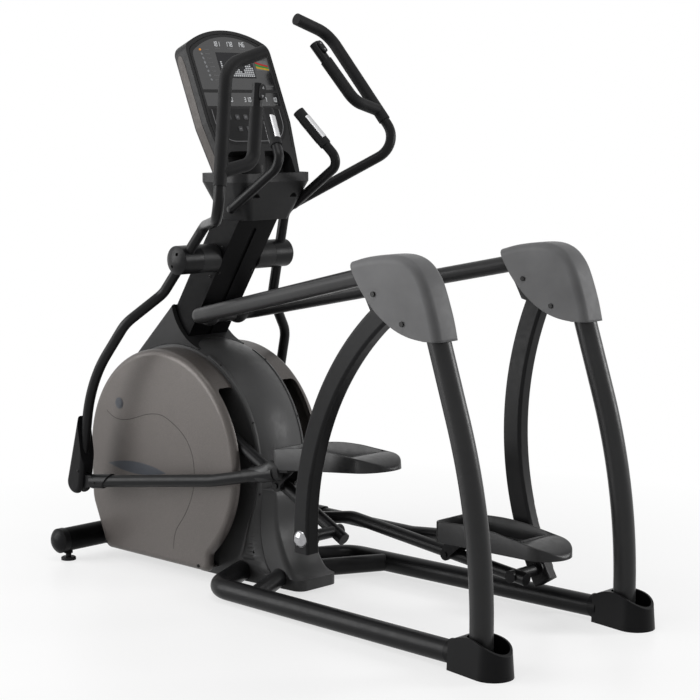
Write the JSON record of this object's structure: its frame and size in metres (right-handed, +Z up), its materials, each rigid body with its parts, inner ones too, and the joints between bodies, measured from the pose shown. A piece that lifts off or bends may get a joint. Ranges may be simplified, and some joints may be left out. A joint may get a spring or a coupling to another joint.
{
  "type": "elliptical trainer",
  "caption": "Rear-suspended elliptical trainer: swing arms carry pedals that drive a front crank and rocking handles, with a leaning mast and console.",
  "frame": {"origin": "on the floor below the middle of the bounding box", "axes": "+Z up, +Y to the front (the way the user faces), +X to the user's right"},
  "size_m": [0.9048, 1.884, 1.7429],
  "materials": {
    "frame_black": "satin black paint",
    "frame_grey": "dark grey satin paint",
    "cover_taupe": "taupe metallic moulding",
    "moulded_charcoal": "charcoal moulding, fine texture",
    "pedal_black": "black moulding",
    "grip_rubber": "matt black",
    "display_tint": "dark tinted window",
    "bright_steel": "brushed",
    "pulley_black": "black moulding",
    "flywheel_iron": "turned cast iron"
  },
  "bodies": {
    "frame": {"front_stabiliser": "frame_black", "stabiliser_end_caps": "moulded_charcoal", "levelling_feet": "grip_rubber", "main_frame": "frame_black", "left_base_rail": "frame_black", "right_base_rail": "frame_black", "cross_tubes": "frame_black", "left_upright": "frame_grey", "right_upright": "frame_grey", "left_foot_boot": "moulded_charcoal", "right_foot_boot": "moulded_charcoal", "shoulder_brackets": "frame_black", "left_shoulder_cover": "moulded_charcoal", "right_shoulder_cover": "moulded_charcoal", "shoulder_bolts": "bright_steel", "left_upper_rail": "frame_grey", "right_upper_rail": "frame_grey", "rail_cross_tube": "frame_grey", "rail_joint_covers": "moulded_charcoal", "mast_post": "frame_black", "mast_front_cover": "moulded_charcoal", "mast_rear_cover": "moulded_charcoal", "spine_cover": "moulded_charcoal", "mast_boot": "moulded_charcoal", "left_side_cover": "cover_taupe", "right_side_cover": "cover_taupe", "pivot_sleeves": "moulded_charcoal", "pivot_axle": "bright_steel", "console_housing": "moulded_charcoal", "console_display": "display_tint", "console_keypad": "moulded_charcoal", "console_tray": "moulded_charcoal", "pulse_handles": "frame_grey", "pulse_grips": "grip_rubber", "pulse_contacts": "bright_steel", "flywheel_axle": "bright_steel", "brake_unit": "bright_steel", "drive_belt": "grip_rubber", "crank_bearings": "bright_steel"},
    "crank": {"crank_axle": "bright_steel", "crank_arms": "bright_steel", "drive_pulley": "pulley_black"},
    "flywheel": {"flywheel": "flywheel_iron"},
    "idler": {"idler_pulley": "pulley_black"},
    "left_swing": {"left_swing_arm": "frame_grey"},
    "left_tube": {"left_pedal_tube": "frame_black"},
    "left_foot": {"left_pedal": "pedal_black", "left_link_tube": "frame_black"},
    "left_handle": {"left_handle_arm": "frame_grey", "left_handle_grip": "grip_rubber", "left_arm_knuckle": "moulded_charcoal"},
    "left_switch": {"left_thumb_switch": "grip_rubber"},
    "right_swing": {"right_swing_arm": "frame_grey"},
    "right_tube": {"right_pedal_tube": "frame_black"},
    "right_foot": {"right_pedal": "pedal_black", "right_link_tube": "frame_black"},
    "right_handle": {"right_handle_arm": "frame_grey", "right_handle_grip": "grip_rubber", "right_arm_knuckle": "moulded_charcoal"},
    "right_switch": {"right_thumb_switch": "grip_rubber"}
  },
  "joints": [
    {"name": "left_swing_pivot", "type": "hinge", "parent": "frame", "child": "left_swing", "pos_m": [-0.315, -0.55, 0.938], "axis": [1, 0, 0], "range_deg": [-32.84, 0]},
    {"name": "left_tube_pivot", "type": "hinge", "parent": "left_swing", "child": "left_tube", "pos_m": [-0.138, -0.15112, 0.23532], "axis": [1, 0, 0], "range_deg": [0, 12.26]},
    {"name": "left_foot_pivot", "type": "hinge", "parent": "left_tube", "child": "left_foot", "pos_m": [-0.138, 0.0599, 0.34322], "axis": [1, 0, 0], "range_deg": [0, 26.03]},
    {"name": "left_handle_pivot", "type": "hinge", "parent": "frame", "child": "left_handle", "pos_m": [-0.152, 0.427, 0.992], "axis": [1, 0, 0], "range_deg": [-29.78, 0]},
    {"name": "right_swing_pivot", "type": "hinge", "parent": "frame", "child": "right_swing", "pos_m": [0.315, -0.55, 0.938], "axis": [1, 0, 0], "range_deg": [0, 32.86]},
    {"name": "right_tube_pivot", "type": "hinge", "parent": "right_swing", "child": "right_tube", "pos_m": [0.138, -0.59594, 0.13131], "axis": [1, 0, 0], "range_deg": [-12.26, 0]},
    {"name": "right_foot_pivot", "type": "hinge", "parent": "right_tube", "child": "right_foot", "pos_m": [0.138, -0.36045, 0.15806], "axis": [1, 0, 0], "range_deg": [-26.03, 0]},
    {"name": "right_handle_pivot", "type": "hinge", "parent": "frame", "child": "right_handle", "pos_m": [0.152, 0.427, 0.992], "axis": [1, 0, 0], "range_deg": [0, 29.78]},
    {"name": "flywheel_spin", "type": "hinge", "parent": "frame", "child": "flywheel", "pos_m": [0, 0.772, 0.3], "axis": [1, 0, 0], "continuous": true},
    {"name": "crank_spin", "type": "hinge", "parent": "frame", "child": "crank", "pos_m": [0, 0.5658, 0.3697], "axis": [1, 0, 0], "continuous": true},
    {"name": "idler_spin", "type": "hinge", "parent": "frame", "child": "idler", "pos_m": [0.024, 0.69931, 0.22457], "axis": [1, 0, 0], "continuous": true},
    {"name": "left_switch_rock", "type": "hinge", "parent": "left_handle", "child": "left_switch", "pos_m": [-0.27528, -0.00121, 1.49139], "axis": [0.9791, -0.0239, -0.2018], "range_deg": [-3, 3], "stiffness_Nm_per_rad": 0.05},
    {"name": "right_switch_rock", "type": "hinge", "parent": "right_handle", "child": "right_switch", "pos_m": [0.27528, 0.30313, 1.63808], "axis": [-0.9791, -0.121, -0.1633], "range_deg": [-3, 3], "stiffness_Nm_per_rad": 0.05}
  ],
  "couplings": [
    {"joint": "left_tube_pivot", "follows": "left_swing_pivot", "ratio": -0.37274},
    {"joint": "left_foot_pivot", "follows": "left_swing_pivot", "ratio": -0.79194},
    {"joint": "left_handle_pivot", "follows": "left_swing_pivot", "ratio": 0.90614},
    {"joint": "right_swing_pivot", "follows": "left_swing_pivot", "ratio": -1},
    {"joint": "right_tube_pivot", "follows": "left_swing_pivot", "ratio": 0.37274},
    {"joint": "right_foot_pivot", "follows": "left_swing_pivot", "ratio": 0.79194},
    {"joint": "right_handle_pivot", "follows": "left_swing_pivot", "ratio": -0.90614},
    {"joint": "crank_spin", "follows": "flywheel_spin", "ratio": 0.19578},
    {"joint": "idler_spin", "follows": "flywheel_spin", "ratio": -1.2532}
  ]
}
